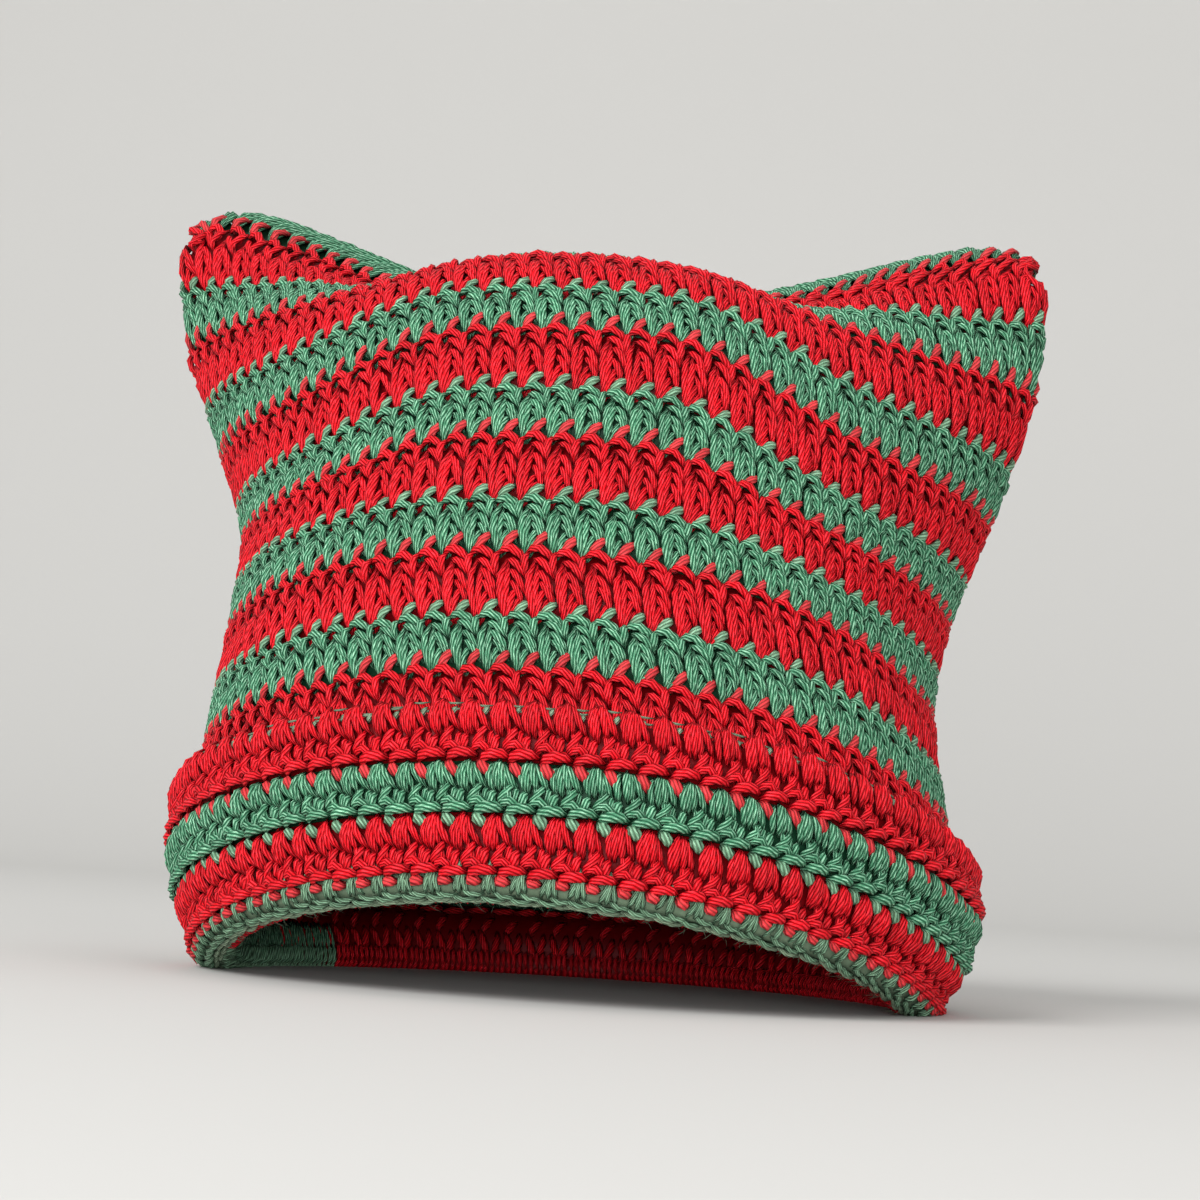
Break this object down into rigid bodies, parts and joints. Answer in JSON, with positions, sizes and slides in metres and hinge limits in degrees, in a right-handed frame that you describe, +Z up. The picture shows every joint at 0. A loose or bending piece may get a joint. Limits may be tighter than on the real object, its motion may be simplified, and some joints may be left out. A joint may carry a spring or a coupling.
{
  "type": "cat ear beanie",
  "caption": "Crocheted beanie of striped rounds: a square bag sewn shut along the top, whose two corners stand out as cat ears, with its lower edge turned up as a cuff.",
  "frame": {"origin": "on the surface that the beanie stands on, under the middle of its outline", "axes": "+Z up, -Y out of the arched front of the rim, X from ear to ear"},
  "size_m": [0.2436, 0.204, 0.2144],
  "materials": {
    "red_yarn": "matt crocheted cotton yarn, red",
    "green_yarn": "matt crocheted cotton yarn, green"
  },
  "bodies": {
    "root": {"crown_round_01": "green_yarn", "crown_round_02": "red_yarn", "crown_round_03": "green_yarn", "crown_round_04": "red_yarn", "crown_round_05": "green_yarn", "crown_round_06": "red_yarn", "crown_round_07": "green_yarn", "crown_round_08": "red_yarn", "crown_round_09": "green_yarn", "crown_round_10": "red_yarn", "crown_round_11": "green_yarn", "crown_round_12": "red_yarn", "crown_round_13": "green_yarn", "crown_round_14": "red_yarn", "fold_round": "green_yarn", "cuff_round_01": "red_yarn", "cuff_round_02": "green_yarn", "cuff_round_03": "red_yarn"}
  },
  "joints": []
}
